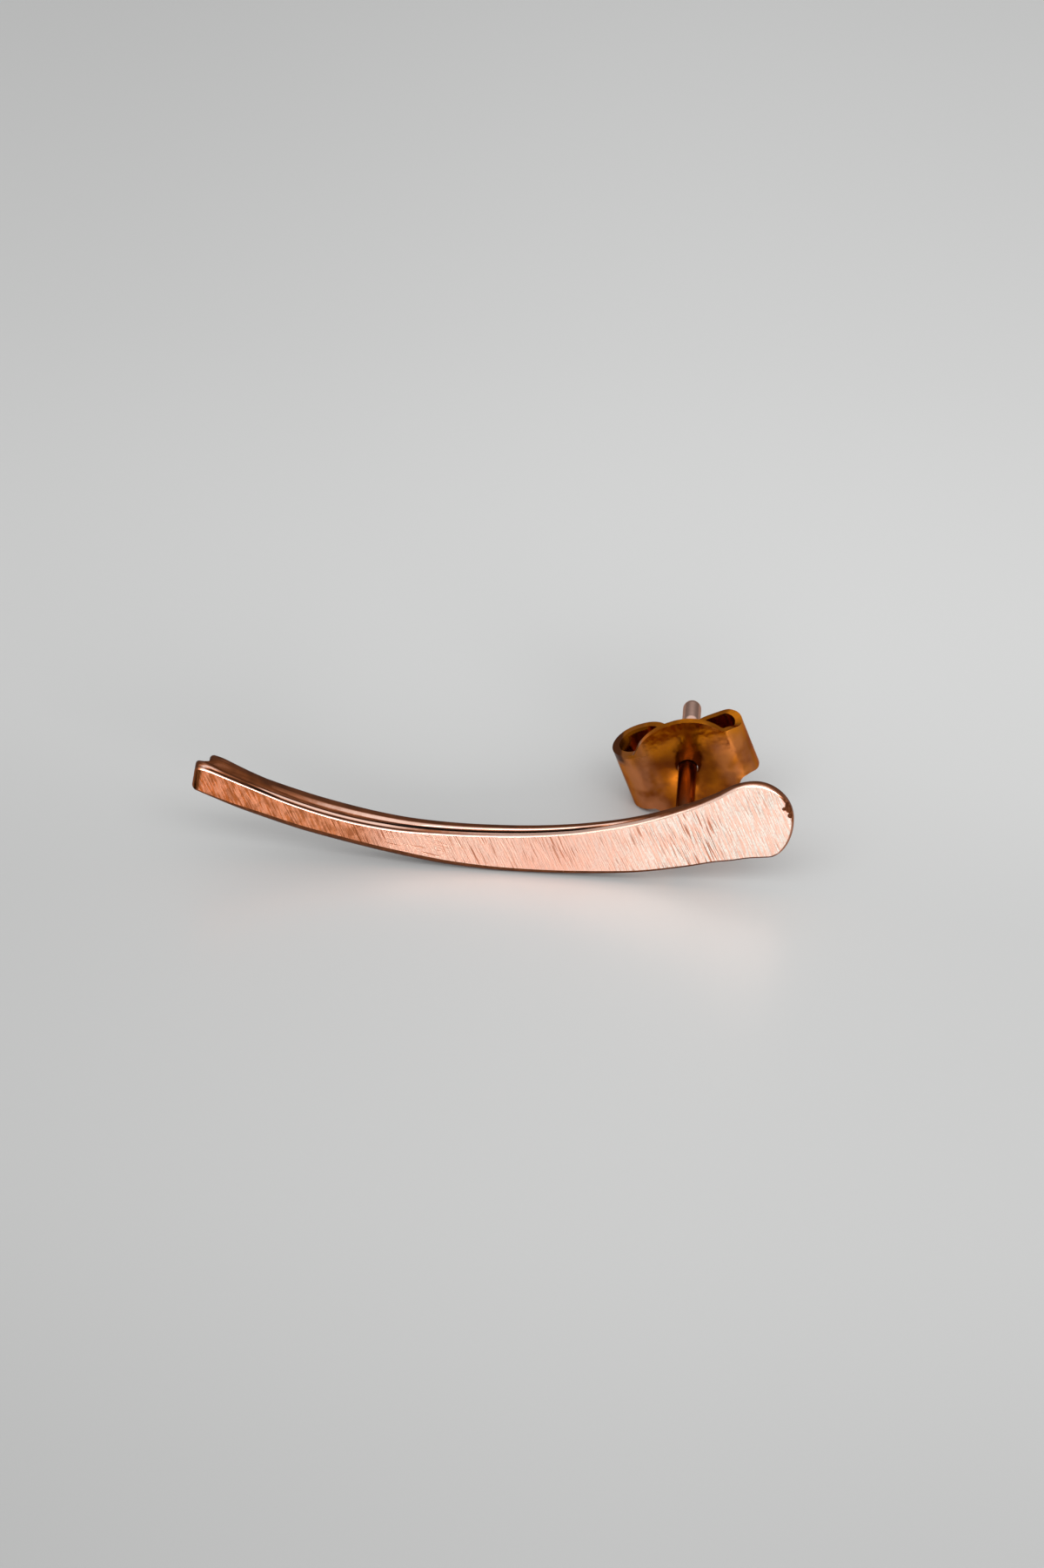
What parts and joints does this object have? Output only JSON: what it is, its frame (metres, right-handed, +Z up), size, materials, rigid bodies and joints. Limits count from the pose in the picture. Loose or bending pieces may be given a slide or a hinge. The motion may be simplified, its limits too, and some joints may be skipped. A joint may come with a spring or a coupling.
{
  "type": "ear climber",
  "caption": "Ear climber forged from round wire: a long curved bar, narrow and grooved at one end and a flat round paddle at the other, with a soldered ear post and a butterfly ear nut.",
  "frame": {"origin": "under the middle of the part's box, on the surface that the part lies on", "axes": "+X along the bar, from its narrow end to its paddle; +Y from the bar's front face to its back, along the ear post; +Z up from the surface"},
  "size_m": [0.0244, 0.01, 0.0051],
  "materials": {
    "forged_metal": "copper-pink forged metal, face rubbed with an abrasive, edges polished",
    "nut_metal": "copper-brown stamped sheet, polished"
  },
  "bodies": {
    "climber": {"climber_bar": "forged_metal"},
    "nut": {"ear_nut": "nut_metal"}
  },
  "joints": [
    {"name": "nut_slide", "type": "slide", "parent": "climber", "child": "nut", "axis": [0, 1, 0.0037], "range_m": [-0.0042, 0.0053]}
  ]
}
